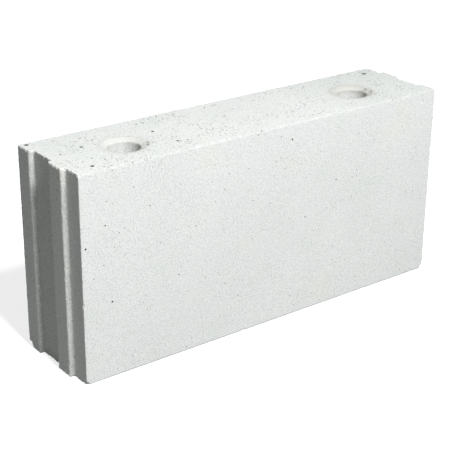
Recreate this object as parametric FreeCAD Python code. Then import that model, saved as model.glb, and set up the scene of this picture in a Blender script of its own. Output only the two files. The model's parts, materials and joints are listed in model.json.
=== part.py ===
import FreeCAD, Part
import os

# A calcium silicate wall block with tongue-and-groove ends and two grip holes through it.
# Millimetres. +X runs along the length, +Y through the wall to its back face, +Z is up.
# The origin is the middle of the bottom bed.

lay_length = 498.0        # from end to end, measured at any one depth in the wall
thickness = 115.0
height = 238.0

# Each end, counted from the face that its recessed margin lies beside
profile_depth = 5.5       # how far the tongue and the proud margin stand out from the groove
recessed_margin = 24.0    # flat strip between the face and the tongue
tongue_face = 23.0        # flat outer face of the tongue
steep_run = 3.0           # width of the steep flanks, beside each margin
easy_run = 5.0            # width of the easier flank, between tongue and groove
joint_clearance = 1.0     # play between a tongue and the proud margin of the next block

arris_radius = 1.2        # rounding of the upright corners
bed_chamfer = 0.8         # bevel around the two beds

# Grip holes
hole_radius = 17.5
hole_spacing = 322.0      # between the two axes
hole_offset = -8.0        # from the middle of the thickness, towards the front face
rim_width = 7.0           # bevel around each mouth on the top bed
rim_depth = 2.5


def end_profile():
    """Plan points of the end at -X, from the front corner to the back corner."""
    proud_x = -(lay_length + profile_depth) / 2
    recessed_x = proud_x + profile_depth
    front_y = -thickness / 2
    back_y = thickness / 2
    proud_margin = recessed_margin - joint_clearance
    tongue_start = front_y + recessed_margin
    tongue_end = tongue_start + steep_run + tongue_face
    margin_start = back_y - proud_margin
    return [
        FreeCAD.Vector(recessed_x, front_y, 0),
        FreeCAD.Vector(recessed_x, tongue_start, 0),
        FreeCAD.Vector(proud_x, tongue_start + steep_run, 0),
        FreeCAD.Vector(proud_x, tongue_end, 0),
        FreeCAD.Vector(recessed_x, tongue_end + easy_run, 0),
        FreeCAD.Vector(recessed_x, margin_start - steep_run, 0),
        FreeCAD.Vector(proud_x, margin_start, 0),
        FreeCAD.Vector(proud_x, back_y, 0),
    ]


def block_body():
    """The outline, whose two ends are one profile turned half way round, raised to its height."""
    near_end = end_profile()
    far_end = [FreeCAD.Vector(-p.x, -p.y, 0) for p in near_end]
    outline = near_end + far_end
    face = Part.Face(Part.makePolygon(outline + outline[:1]))
    return face.extrude(FreeCAD.Vector(0, 0, height))


def soften_arrises(body):
    """Rounds the upright corners, then bevels the edges of both beds."""
    upright = [e for e in body.Edges if e.BoundBox.ZLength > height / 2]
    rounded = body.makeFillet(arris_radius, upright)
    bed_edges = [e for e in rounded.Edges if e.BoundBox.ZLength < 0.001]
    return rounded.makeChamfer(bed_chamfer, bed_edges)


def grip_hole(x):
    """The tool that cuts one hole: a straight bore with a bevelled mouth at the top."""
    bore = Part.makeCylinder(hole_radius, height, FreeCAD.Vector(x, hole_offset, 0))
    mouth_base = FreeCAD.Vector(x, hole_offset, height - rim_depth)
    mouth = Part.makeCone(hole_radius, hole_radius + rim_width, rim_depth, mouth_base)
    return bore.fuse(mouth)


def build_block():
    block = soften_arrises(block_body())
    for side in (-1, 1):
        block = block.cut(grip_hole(side * hole_spacing / 2))
    return block


os.makedirs("parts", exist_ok=True)
block = build_block()
block.exportStep("parts/block.step")
print(f"block: valid {block.isValid()}, {len(block.Solids)} solid, {block.Volume / 1e6:.3f} litres")
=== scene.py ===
import json
import math
import random

import bpy
import numpy as np
from mathutils import Matrix, Vector


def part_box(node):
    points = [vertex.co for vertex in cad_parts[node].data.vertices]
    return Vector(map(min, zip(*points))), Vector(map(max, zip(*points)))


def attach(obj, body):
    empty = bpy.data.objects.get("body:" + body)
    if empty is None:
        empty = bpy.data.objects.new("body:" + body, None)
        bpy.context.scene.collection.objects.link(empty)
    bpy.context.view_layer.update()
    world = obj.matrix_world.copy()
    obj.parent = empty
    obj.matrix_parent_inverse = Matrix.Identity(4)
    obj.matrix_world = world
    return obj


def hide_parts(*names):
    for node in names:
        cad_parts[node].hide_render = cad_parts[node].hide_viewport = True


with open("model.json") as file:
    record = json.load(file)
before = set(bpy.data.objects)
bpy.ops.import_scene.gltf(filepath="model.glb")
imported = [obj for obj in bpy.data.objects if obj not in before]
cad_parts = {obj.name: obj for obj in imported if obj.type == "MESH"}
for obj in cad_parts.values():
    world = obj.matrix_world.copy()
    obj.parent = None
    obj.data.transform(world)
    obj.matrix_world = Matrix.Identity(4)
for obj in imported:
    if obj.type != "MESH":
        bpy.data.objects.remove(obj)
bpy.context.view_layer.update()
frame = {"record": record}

lowest, highest = (Vector(corner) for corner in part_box("block"))
size = highest - lowest
bores = [m for m in frame["record"]["mounts"] if m["kind"] == "bore"]
near = 0.0004    # how close a point must be to a plane to count as on it


def deselectAll():
    bpy.ops.object.select_all(action="DESELECT")


def makeActive(thing):
    deselectAll()
    thing.select_set(True)
    bpy.context.view_layer.objects.active = thing


def applyAll(thing):
    makeActive(thing)
    for modifier in list(thing.modifiers):
        bpy.ops.object.modifier_apply(modifier=modifier.name)


def addModifier(thing, kind, **settings):
    modifier = thing.modifiers.new(kind.title(), kind)
    for name, value in settings.items():
        setattr(modifier, name, value)
    return modifier


# the plain block: a cube, scored at the edges of the tongues and pushed in between them

endProfile = {
    "depth": 0.0055,           # from the face of a tongue to the floor of its groove
    "recessedMargin": 0.024,
    "steepRun": 0.003,
    "tongueFace": 0.023,
    "easyRun": 0.005,
    "proudMargin": 0.023,
}


def profilePlaces():
    # distances from the recessed margin's own face, in order across the thickness
    p = endProfile
    tongueStart = p["recessedMargin"] + p["steepRun"]
    tongueEnd = tongueStart + p["tongueFace"]
    marginStart = size.y - p["proudMargin"]
    return [p["recessedMargin"], tongueStart, tongueEnd, tongueEnd + p["easyRun"],
            marginStart - p["steepRun"], marginStart]


def selectVertices(mesh, chosen):
    # starts and ends in edit mode
    bpy.ops.object.mode_set(mode="EDIT")
    bpy.ops.mesh.select_mode(type="VERT")
    bpy.ops.mesh.select_all(action="DESELECT")
    bpy.ops.object.mode_set(mode="OBJECT")
    for vertex in mesh.vertices:
        vertex.select = chosen(vertex.co)
    bpy.ops.object.mode_set(mode="EDIT")


def makePlainBlock():
    deselectAll()
    bpy.ops.mesh.primitive_cube_add(size=1, location=(lowest + highest) / 2)
    block = bpy.context.object
    block.name = "brick"
    block.scale = size
    bpy.ops.object.transform_apply(location=True, rotation=True, scale=True)
    bpy.ops.object.mode_set(mode="EDIT")
    bpy.ops.mesh.select_mode(type="VERT")
    places = profilePlaces()
    for place in places:
        for y in (lowest.y + place, highest.y - place):
            bpy.ops.mesh.select_all(action="SELECT")
            bpy.ops.mesh.bisect(plane_co=(0, y, 0), plane_no=(0, 1, 0))
    for side in (-1, 1):
        def isRecessed(point, side=side):
            across = point.y * -side - lowest.y
            onEnd = abs(point.x - side * highest.x) < near
            inMargin = across < places[0] + near
            inGroove = places[3] - near < across < places[4] + near
            return onEnd and (inMargin or inGroove)
        selectVertices(block.data, isRecessed)
        bpy.ops.transform.translate(value=(-side * endProfile["depth"], 0, 0))
    bpy.ops.object.mode_set(mode="OBJECT")
    return block


# the two grip holes

gripHoles = {"sides": 96, "rimWidth": 0.007, "rimDepth": 0.0025, "overrun": 0.01}


def makeHoleCutter(bore):
    radius = bore["dims"]["r_mm"] / 1000
    shoulder = highest.z - gripHoles["rimDepth"]
    foot = lowest.z - gripHoles["overrun"]
    spot = (bore["pos_m"][0], bore["pos_m"][1], (shoulder + foot) / 2)
    deselectAll()
    bpy.ops.mesh.primitive_cylinder_add(vertices=gripHoles["sides"], radius=radius,
                                        depth=shoulder - foot, location=spot)
    cutter = bpy.context.object
    bpy.ops.object.transform_apply(location=True, rotation=True, scale=True)
    selectVertices(cutter.data, lambda point: point.z > shoulder - near)
    bpy.ops.mesh.extrude_region_move(TRANSFORM_OT_translate={"value": (0, 0, gripHoles["rimDepth"])})
    flare = 1 + gripHoles["rimWidth"] / radius
    bpy.ops.transform.resize(value=(flare, flare, 1))
    bpy.ops.mesh.extrude_region_move(TRANSFORM_OT_translate={"value": (0, 0, gripHoles["overrun"])})
    bpy.ops.object.mode_set(mode="OBJECT")
    return cutter


def cutAway(thing, cutter):
    addModifier(thing, "BOOLEAN", operation="DIFFERENCE", solver="EXACT", object=cutter)
    applyAll(thing)
    bpy.data.objects.remove(cutter)


# crumbling: arrises worn back and nibbled, faces slightly uneven, small pits

crumble = {
    "gridStep": 0.0010,
    "arrisAngle": 25,         # edges sharper than this are arrises
    "wearReach": 0.0021,      # how far from an arris it is worn
    "wearSteps": 20,
    "uprightShare": 0.42,     # upright arrises are cleaner than those of the beds
    "longShare": 0.24,
    "rimShare": 0.35,
    "endStrip": 0.05,         # rims lie further than this from an end
    "unevenGrain": 0.045,
    "unevenDepth": 0.0003,
    "fineGrain": 0.0034,
    "fineRamp": (0.40, 0.56),
    "fineDepth": 0.0011,
    "chipGrain": 0.011,
    "chipRamp": (0.25, 0.35),
    "chipDepth": 0.0030,
    "pitSpacing": 0.021,
    "pitRamp": (0.02, 0.085),
    "pitDepth": 0.0006,
    "creaseAngle": 32,
    "triangles": 186000,
}

# a bite's lumps, as shares of its radius
biteLumps = {"grain": 0.7, "height": 0.9, "middle": 0.6}

# knocked corners: side along the length, side through the wall, bed, radius of the bite
knocks = [
    (-1, 1, -1, 0.0085),
    (-1, -1, 1, 0.0030),
    (1, 1, 1, 0.0035),
    (1, -1, -1, 0.0045),
    (-1, -1, -1, 0.0040),
]

# spalls at the mouths: which hole, how far from its axis along and across, radius of the bite
spalls = [
    (0, 0.0192, -0.0118, 0.0040),
    (0, 0.0228, -0.0070, 0.0036),
    (0, -0.0150, -0.0170, 0.0016),
    (1, 0.0190, -0.0085, 0.0038),
    (1, 0.0205, 0.0010, 0.0032),
    (1, -0.0030, -0.0225, 0.0022),
]


def spallPlaces():
    places = []
    for hole, along, across, radius in spalls:
        x, y, z = bores[hole]["pos_m"]
        places.append((x + along, y + across, highest.z, radius))
    return places


def biteOut(thing, name, spot, radius):
    deselectAll()
    bpy.ops.mesh.primitive_ico_sphere_add(subdivisions=4, radius=radius, location=spot)
    lump = bpy.context.object
    bpy.ops.object.transform_apply(location=True, rotation=True, scale=True)
    addModifier(lump, "DISPLACE", texture=cloudTexture(name, radius * biteLumps["grain"], 3),
                texture_coords="LOCAL", strength=radius * biteLumps["height"], mid_level=biteLumps["middle"])
    applyAll(lump)
    cutAway(thing, lump)


def knockCorners(thing):
    for number, (alongX, acrossY, bed, radius) in enumerate(knocks):
        inset = endProfile["depth"] if acrossY == alongX else 0
        z = highest.z if bed > 0 else lowest.z
        biteOut(thing, f"knock{number}", (alongX * (highest.x - inset), acrossY * highest.y, z), radius)


def spallMouths(thing):
    for number, (x, y, z, radius) in enumerate(spallPlaces()):
        biteOut(thing, f"spall{number}", (x, y, z), radius)


# open pores: the larger ones at chosen places, the rest thrown over the bed and the two long faces

openPores = {
    "bed": [(0.225, 0.040, 0.0024), (-0.244, 0.051, 0.0021), (-0.221, -0.043, 0.0020),
            (-0.201, 0.012, 0.0017), (-0.113, 0.010, 0.0016), (-0.108, -0.030, 0.0014)],
    "front": [(-0.241, 0.157, 0.0010), (-0.217, 0.177, 0.0008), (0.028, 0.219, 0.0010)],
    "thrown": 16,
    "thrownRadius": (0.0006, 0.0011),
    "margin": 0.012,
    "seed": 4,
}


def porePlaces():
    o = openPores
    dice = random.Random(o["seed"])
    places = [(x, y, highest.z, radius) for x, y, radius in o["bed"]]
    places += [(x, lowest.y, z, radius) for x, z, radius in o["front"]]
    inner = [(low + o["margin"], high - o["margin"]) for low, high in zip(lowest, highest)]
    for number in range(o["thrown"]):
        x, y, z = (dice.uniform(*span) for span in inner)
        if number % 2:
            z = highest.z
        else:
            y = dice.choice((lowest.y, highest.y))
        places.append((x, y, z, dice.uniform(*o["thrownRadius"])))
    return places


pores = porePlaces()


def cutPores(thing):
    balls = []
    for x, y, z, radius in pores:
        deselectAll()
        bpy.ops.mesh.primitive_ico_sphere_add(subdivisions=2, radius=radius, location=(x, y, z))
        balls.append(bpy.context.object)
    makeActive(balls[0])
    for ball in balls:
        ball.select_set(True)
    bpy.ops.object.join()
    bpy.ops.object.transform_apply(location=True, rotation=True, scale=True)
    cutAway(thing, balls[0])


def wearShare(start, end):
    if abs(start.z - end.z) > size.z / 2:
        return crumble["uprightShare"]
    if abs(start.x) < highest.x - crumble["endStrip"]:
        return crumble["rimShare"]
    if (end - start).length > size.x / 2:
        return crumble["longShare"]
    return 1.0


def sharpEdges(thing):
    # each arris as its two ends and its share of wear, the hole rims included
    mesh = thing.data
    normals = {}
    for face in mesh.polygons:
        for key in face.edge_keys:
            normals.setdefault(key, []).append(face.normal.copy())
    found = []
    for key, pair in normals.items():
        if len(pair) == 2 and pair[0].angle(pair[1]) > math.radians(crumble["arrisAngle"]):
            start, end = (mesh.vertices[i].co.copy() for i in key)
            found.append((start, end, wearShare(start, end)))
    return found


def arrisWeights(points, segments, reach):
    weights = np.zeros(len(points))
    for start, end, share in segments:
        a, b = np.array(start), np.array(end)
        low, high = np.minimum(a, b) - reach, np.maximum(a, b) + reach
        close = np.nonzero(((points >= low) & (points <= high)).all(axis=1))[0]
        if not len(close):
            continue
        along = b - a
        part = np.clip((points[close] - a) @ along / (along @ along), 0, 1)
        gap = np.linalg.norm(points[close] - a - part[:, None] * along, axis=1)
        weights[close] = np.maximum(weights[close], share * np.clip(1 - gap / reach, 0, 1))
    return weights


def vertexPoints(thing):
    flat = np.empty(len(thing.data.vertices) * 3)
    thing.data.vertices.foreach_get("co", flat)
    return flat.reshape(-1, 3)


def setGroup(thing, name, weights):
    # the weights are rounded, so that each step is added at once
    group = thing.vertex_groups.new(name=name)
    count = crumble["wearSteps"]
    steps = np.round(weights * count).astype(int)
    for step in range(1, count + 1):
        members = np.nonzero(steps == step)[0].tolist()
        if members:
            group.add(members, step / count, "REPLACE")


def cloudTexture(name, grain, depth=2, dark=None):
    texture = bpy.data.textures.new(name, "CLOUDS")
    texture.noise_scale = grain
    texture.noise_depth = depth
    if dark:
        rampBetween(texture, *dark)
    return texture


def rampBetween(texture, start, end):
    # white below start, black above end
    texture.use_color_ramp = True
    stops = texture.color_ramp.elements
    stops[0].position, stops[0].color = start, (1, 1, 1, 1)
    stops[1].position, stops[1].color = end, (0, 0, 0, 1)


def pitTexture(name, spacing, start, end):
    texture = bpy.data.textures.new(name, "VORONOI")
    texture.noise_scale = spacing
    texture.noise_intensity = 1
    rampBetween(texture, start, end)
    return texture


def pressIn(thing, texture, depth, group=""):
    # white parts of the texture are pushed inwards by the whole depth, black parts stay
    addModifier(thing, "DISPLACE", texture=texture, texture_coords="LOCAL", direction="NORMAL",
                strength=-depth, mid_level=0, vertex_group=group)


def crumbleBlock(thing):
    c = crumble
    arrises = sharpEdges(thing)
    knockCorners(thing)
    spallMouths(thing)
    addModifier(thing, "REMESH", mode="VOXEL", voxel_size=c["gridStep"], adaptivity=0)
    applyAll(thing)
    points = vertexPoints(thing)
    setGroup(thing, "arris", arrisWeights(points, arrises, c["wearReach"]))
    pressIn(thing, cloudTexture("unevenness", c["unevenGrain"]), c["unevenDepth"])
    pressIn(thing, cloudTexture("fineCrumbs", c["fineGrain"], 2, c["fineRamp"]), c["fineDepth"], "arris")
    pressIn(thing, cloudTexture("chips", c["chipGrain"], 3, c["chipRamp"]), c["chipDepth"], "arris")
    pressIn(thing, pitTexture("pits", c["pitSpacing"], *c["pitRamp"]), c["pitDepth"])
    applyAll(thing)
    thinOut(thing)
    keepInside(thing)
    cutPores(thing)
    makeActive(thing)
    bpy.ops.object.shade_smooth_by_angle(angle=math.radians(c["creaseAngle"]))
    addModifier(thing, "WEIGHTED_NORMAL", keep_sharp=True)
    applyAll(thing)


def thinOut(thing):
    thing.data.calc_loop_triangles()
    before = len(thing.data.loop_triangles)
    ratio = crumble["triangles"] / before
    if ratio < 1:
        addModifier(thing, "DECIMATE", ratio=ratio, use_collapse_triangulate=True)
        applyAll(thing)
    print(f"brick mesh: {before} triangles thinned to {len(thing.data.polygons)}")


def keepInside(thing):
    points = np.clip(vertexPoints(thing), np.array(lowest), np.array(highest))
    thing.data.vertices.foreach_set("co", points.ravel())
    thing.data.update()


# shader sums, written as Python expressions on sockets

class Wire:
    def __init__(self, tree, socket=None):
        self.tree = tree
        self.socket = socket

    def add(self, kind, settings=None, sockets=None, out=0):
        node = self.tree.nodes.new(kind)
        for name, value in (settings or {}).items():
            setattr(node, name, value)
        for name, value in (sockets or {}).items():
            if isinstance(value, Wire):
                self.tree.links.new(value.socket, node.inputs[name])
            else:
                node.inputs[name].default_value = value
        return Wire(self.tree, node.outputs[out] if node.outputs else None)

    def sum(self, operation, other):
        return self.add("ShaderNodeMath", {"operation": operation}, {0: self, 1: other})

    def __add__(self, other):
        return self.sum("ADD", other)

    def __sub__(self, other):
        return self.sum("SUBTRACT", other)

    def __mul__(self, other):
        return self.sum("MULTIPLY", other)

    __radd__ = __add__
    __rmul__ = __mul__

    def __rsub__(self, other):
        return self * -1 + other

    def squared(self):
        return self * self

    def above(self, other):
        return self.sum("GREATER_THAN", other)

    def between(self, low, high):
        # 0 at low, 1 at high, smooth in the middle; low may be the larger
        settings = {"interpolation_type": "SMOOTHSTEP"}
        return self.add("ShaderNodeMapRange", settings, {"Value": self, "From Min": low, "From Max": high})

    def blend(self, first, second):
        # this wire is the factor between two colours
        return self.add("ShaderNodeMix", {"data_type": "RGBA"}, {0: self, 6: first, 7: second}, out=2)

    def part(self, axis):
        return self.add("ShaderNodeSeparateXYZ", {}, {"Vector": self}, out="XYZ".index(axis))

    def noise(self, scale, detail=2.0, roughness=0.5):
        return self.add("ShaderNodeTexNoise", {}, {"Vector": self, "Scale": scale, "Detail": detail,
                                                   "Roughness": roughness})

    def cells(self, scale, out=0):
        return self.add("ShaderNodeTexVoronoi", {}, {"Vector": self, "Scale": scale}, out=out)


def newMaterial(name):
    material = bpy.data.materials.new(name)
    material.use_nodes = True
    material.node_tree.nodes.clear()
    return material, Wire(material.node_tree)


sandLime = {
    "body": (0.745, 0.765, 0.750, 1),
    "lighter": (0.795, 0.812, 0.801, 1),
    "darker": (0.740, 0.760, 0.748, 1),
    "grainScale": 560,            # noise scales, all to the metre
    "mottleScale": 120,
    "patchScale": 9,
    "tintScale": 17,
    "clusterScale": 26,
    "pinholeSpacing": 155,        # cells in a metre
    "pinholeRadius": 0.13,        # share of a cell
    "dotCore": 0.45,              # share of a dot's radius that has its full colour
    "pinholesMissing": 0.80,      # share of the cells that have none
    "bedPinholesMissing": 0.45,   # the same on the top bed
    "speckSpacing": 263.5,
    "specksMissing": 0.80,
    "crumbSpacing": 470,
    "crumbRadius": 0.42,
    "crumbsMissing": 0.70,
    "bedCrumbSpacing": 270,
    "bedCrumbRadius": 0.40,
    "bedCrumbsMissing": 0.55,
    "rimReach": 0.034,            # how far from the axis the rim's tint fades out
    "grainHeight": 0.00022,
    "mottleHeight": 0.00035,
    "pinholeDepth": 0.0007,
    "bumpStrength": 0.8,
    "roughness": 0.92,
    "gloss": 0.25,
}

# what lies over the body colour, from the lowest layer up: its colour, and how much of it shows
layers = {
    # painted shade: the top bed is darkened towards its right end
    "bedEnd": ((0.62, 0.65, 0.63, 1), 0.5),
    # painted light: the proud tongue faces on the ends are made lighter than the shaded hollows beside them
    "tongue": (sandLime["lighter"], 0.8),
    # painted shade: the groove floors on the ends are darkened, as shade falls in the recess
    "groove": ((0.64, 0.645, 0.61, 1), 0.8),
    # painted shade: the sloping flanks of the end profile are darkened to dim the lamp light on them
    "flanks": ((0.565, 0.575, 0.555, 1), 0.9),
    "warm": ((0.80, 0.78, 0.70, 1), 0.35),
    "green": ((0.70, 0.75, 0.70, 1), 0.30),
    "paler": (sandLime["lighter"], 0.3),
    "darkGrain": ((0.56, 0.58, 0.57, 1), 0.6),
    "paleGrain": ((0.90, 0.90, 0.89, 1), 0.6),
    "crumbs": ((0.16, 0.17, 0.16, 1), 0.34),
    "bedCrumbs": ((0.16, 0.17, 0.16, 1), 0.75),
    "specks": ((0.90, 0.90, 0.89, 1), 0.6),
    # painted shade: the pinholes, pressed in only by the bump, are painted dark inside
    "pinholes": ((0.16, 0.17, 0.16, 1), 0.85),
    # painted shade: the open pores cut into the mesh are painted near black inside
    "pores": ((0.05, 0.055, 0.05, 1), 1.0),
    # the mouths' rims: a yellowish tint of the block, with painted shade that dims the bevels the lamp
    # lights; darker on the right hole
    "leftRim": ((0.668, 0.665, 0.638, 1), 0.7),
    "rightRim": ((0.570, 0.560, 0.520, 1), 0.7),
    # painted shade: the bore walls darken with depth under the top bed
    "bore": ((0.335, 0.315, 0.270, 1), 0.2),
    # painted shade along the long top arrises, dimming the bright line the lamp puts there
    "longArris": ((0.52, 0.53, 0.51, 1), 0.2),
    # painted shade: the hollows of the spalls at the mouths are painted grey
    "spalls": ((0.42, 0.41, 0.39, 1), 0.8),
}


def scatterDots(place, scale, radius, missing):
    # round dots, in a few of the cells only
    distance = place.cells(scale)
    lot = place.cells(scale, out=1)
    chance = lot.add("ShaderNodeSeparateColor", {}, {"Color": lot})
    return distance.between(radius, radius * sandLime["dotCore"]) * chance.above(missing)


def fromAxes(place):
    # distance from the nearer of the two hole axes
    x, y = place.part("X"), place.part("Y")
    left, right = [((x - bore["pos_m"][0]).squared() + (y - bore["pos_m"][1]).squared()).sum("POWER", 0.5)
                   for bore in bores]
    return left.sum("MINIMUM", right)


def endZone(place, first, last):
    # 1 between two distances across an end, counted from its recessed margin's own face
    farEnd = place.part("X").above(0)
    across = place.part("Y") * (1 - farEnd * 2) + size.y / 2
    soft = 0.0005
    return across.between(first - soft, first + soft) * across.between(last + soft, last - soft)


def marksAt(place, spots, outer, inner):
    # 1 inside a share of each spot's radius, 0 outside a larger share
    marks = 0
    for x, y, z, radius in spots:
        centre = {0: place, 1: (x, y, z)}
        gap = place.add("ShaderNodeVectorMath", {"operation": "DISTANCE"}, centre, out="Value")
        marks = marks + gap.between(radius * outer, radius * inner)
    return marks


def belowTop(place, first, last):
    # 0 at one depth under the top bed, 1 at another
    return place.part("Z").between(highest.z - first, highest.z - last)


def endMasks(place, onBed):
    rebate, tongueStart, tongueEnd, _, grooveEnd, margin = profilePlaces()
    fromMiddle = place.part("X").sum("ABSOLUTE", 0)
    onEnd = fromMiddle.between(highest.x - 0.0080, highest.x - 0.0070) * (1 - onBed)
    return {
        # painted shade: the top bed darker towards its right end
        "bedEnd": onBed * place.part("X").between(0.06, 0.20),
        # painted light: the proud tongue faces made lighter than the hollows beside them
        "tongue": onEnd * endZone(place, tongueStart, tongueEnd),
        # painted shade: the recessed groove floors darkened
        "groove": onEnd * endZone(place, tongueEnd, grooveEnd),
        # painted shade: the sloping flanks of the end profile darkened
        "flanks": onEnd * (endZone(place, rebate, tongueStart) + endZone(place, grooveEnd, margin)),
    }


def grainMasks(place, onBed, grain, mottle, pinholes):
    s = sandLime
    tints = place.noise(s["tintScale"], 2)
    clusters = place.noise(s["clusterScale"], 3, 0.6).between(0.42, 0.60)
    crumbs = scatterDots(place, s["crumbSpacing"], s["crumbRadius"], s["crumbsMissing"])
    bedCrumbs = scatterDots(place, s["bedCrumbSpacing"], s["bedCrumbRadius"], s["bedCrumbsMissing"])
    return {
        "warm": tints.between(0.60, 0.72),
        "green": tints.between(0.42, 0.30),
        "paler": mottle.between(0.35, 0.75),
        "darkGrain": grain.between(0.50, 0.32),
        "paleGrain": grain.between(0.50, 0.66),
        "crumbs": crumbs * clusters,
        "bedCrumbs": bedCrumbs * clusters * onBed,
        "specks": scatterDots(place, s["speckSpacing"], s["pinholeRadius"], s["specksMissing"]),
        "pinholes": pinholes,
        # painted shade: the cut pores painted near black
        "pores": marksAt(place, pores, 1.2, 1.0),
    }


def holeMasks(place):
    axisGap = fromAxes(place)
    radius = bores[0]["dims"]["r_mm"] / 1000
    # rims of the mouths: yellowish tint and painted shade dimming the lit bevels
    nearRim = axisGap.between(sandLime["rimReach"], radius * 1.3) * belowTop(place, 0.012, 0.004)
    onRight = place.part("X").above(0.0)
    longFace = place.part("Y").sum("ABSOLUTE", 0).between(size.y / 2 - 0.0022, size.y / 2 - 0.0006)
    return {
        "leftRim": nearRim * (1 - onRight),
        "rightRim": nearRim * onRight,
        # painted shade: bore walls darker with depth
        "bore": axisGap.between(radius * 1.06, radius * 1.02) * belowTop(place, 0.003, 0.030),
        # painted shade along the long top arrises
        "longArris": longFace * belowTop(place, 0.0022, 0.0006),
        # painted shade: spall hollows painted grey
        "spalls": marksAt(place, spallPlaces(), 1.25, 0.95).sum("MINIMUM", 1),
    }


def makeSandLime():
    s = sandLime
    material, start = newMaterial("sandLime")
    place = start.add("ShaderNodeTexCoord", out=3)
    grain = place.noise(s["grainScale"], 2, 0.6)
    mottle = place.noise(s["mottleScale"], 4, 0.6)
    patches = place.noise(s["patchScale"], 3)
    onBed = belowTop(place, 0.002, 0.001)
    missing = s["pinholesMissing"] - onBed * (s["pinholesMissing"] - s["bedPinholesMissing"])
    # painted shade: dark pinhole dots, also pressed in by the bump
    pinholes = scatterDots(place, s["pinholeSpacing"], s["pinholeRadius"], missing)
    masks = endMasks(place, onBed)
    masks.update(grainMasks(place, onBed, grain, mottle, pinholes))
    masks.update(holeMasks(place))
    colour = patches.between(0.35, 0.65).blend(s["darker"], s["lighter"])
    colour = mottle.between(0.30, 0.70).blend(colour, s["body"])
    for name, (tint, shows) in layers.items():
        colour = (masks[name] * shows).blend(colour, tint)
    height = grain * s["grainHeight"] + mottle * s["mottleHeight"] - pinholes * s["pinholeDepth"]
    relief = {"Height": height, "Strength": s["bumpStrength"], "Distance": 1.0}
    bump = start.add("ShaderNodeBump", {}, relief)
    shader = start.add("ShaderNodeBsdfPrincipled", {}, {
        "Base Color": colour, "Roughness": s["roughness"], "Specular IOR Level": s["gloss"], "Normal": bump})
    start.add("ShaderNodeOutputMaterial", {}, {"Surface": shader})
    return material


# studio

studio = {
    "floorSize": 60.0,
    "floorGap": 0.0003,       # below the bottom bed
    "floorSeen": 0.95,
    "floorBounce": 0.22,
    "floorLift": 0.68,
    "worldLight": (0.169, 0.178, 0.170, 1),
    "keyPlace": (-0.20, -1.74, 2.14),
    "keyAim": (0.0, -0.03, 0.12),
    "keySize": 0.6,
    "keyPower": 85,
}

cameraView = {
    "azimuth": -37.24,
    "elevation": 23.35,
    "roll": 0.48,
    "distance": 1.4276,
    "aim": (-0.0185, 0.0, 0.10505),
    "lens": 97.63,
    "sensor": 36,
}


def seenRays(start):
    # 1 for the rays that show the background, straight on, in a gloss or through glass
    camera, glossy, through = [start.add("ShaderNodeLightPath", out=f"Is {kind} Ray")
                               for kind in ("Camera", "Glossy", "Transmission")]
    return camera.sum("MAXIMUM", glossy).sum("MAXIMUM", through)


def makeFloor():
    deselectAll()
    level = lowest.z - studio["floorGap"]
    bpy.ops.mesh.primitive_plane_add(size=studio["floorSize"], location=(0, 0, level))
    floor = bpy.context.object
    floor.name = "floor"
    bpy.ops.object.transform_apply(location=True, rotation=True, scale=True)
    material, start = newMaterial("paleFloor")
    seen = seenRays(start)
    bounce, shown = studio["floorBounce"], studio["floorSeen"]
    colour = seen.blend((bounce, bounce, bounce, 1), (shown, shown, shown, 1))
    matt = start.add("ShaderNodeBsdfDiffuse", {}, {"Color": colour})
    lift = seen * studio["floorLift"]
    glow = start.add("ShaderNodeEmission", {}, {"Color": (1, 1, 1, 1), "Strength": lift})
    both = start.add("ShaderNodeAddShader", {}, {0: matt, 1: glow})
    start.add("ShaderNodeOutputMaterial", {}, {"Surface": both})
    floor.data.materials.append(material)


def makeWorld():
    world = bpy.data.worlds.new("studio")
    bpy.context.scene.world = world
    world.use_nodes = True
    world.node_tree.nodes.clear()
    start = Wire(world.node_tree)
    seen = seenRays(start)
    colour = seen.blend(studio["worldLight"], (1, 1, 1, 1))
    back = start.add("ShaderNodeBackground", {}, {"Color": colour, "Strength": 1.0})
    start.add("ShaderNodeOutputWorld", {}, {"Surface": back})


def makeKey():
    deselectAll()
    bpy.ops.object.light_add(type="AREA", location=studio["keyPlace"])
    key = bpy.context.object
    key.name = "keyLamp"
    key.data.shape = "DISK"
    key.data.size = studio["keySize"]
    key.data.energy = studio["keyPower"]
    towards = Vector(studio["keyAim"]) - Vector(studio["keyPlace"])
    key.rotation_euler = towards.to_track_quat("-Z", "Y").to_euler()


def makeCamera():
    c = cameraView
    azimuth, elevation = math.radians(c["azimuth"]), math.radians(c["elevation"])
    back = Vector((math.sin(azimuth) * math.cos(elevation), -math.cos(azimuth) * math.cos(elevation),
                   math.sin(elevation)))
    deselectAll()
    bpy.ops.object.camera_add()
    camera = bpy.context.object
    level = back.to_track_quat("Z", "Y").to_matrix().to_4x4()
    roll = Matrix.Rotation(math.radians(c["roll"]), 4, "Z")
    camera.matrix_world = Matrix.Translation(Vector(c["aim"]) + back * c["distance"]) @ level @ roll
    camera.data.sensor_width = c["sensor"]
    camera.data.lens = c["lens"]
    bpy.context.scene.camera = camera


makeCamera()
makeFloor()
makeWorld()
makeKey()
bpy.context.scene.view_settings.view_transform = "Standard"
print("studio ready")

brick = makePlainBlock()
for bore in bores:
    cutAway(brick, makeHoleCutter(bore))
print("plain block cut")
crumbleBlock(brick)
brick.data.materials.clear()
brick.data.materials.append(makeSandLime())
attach(brick, "root")
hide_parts("block")
print("brick finished")
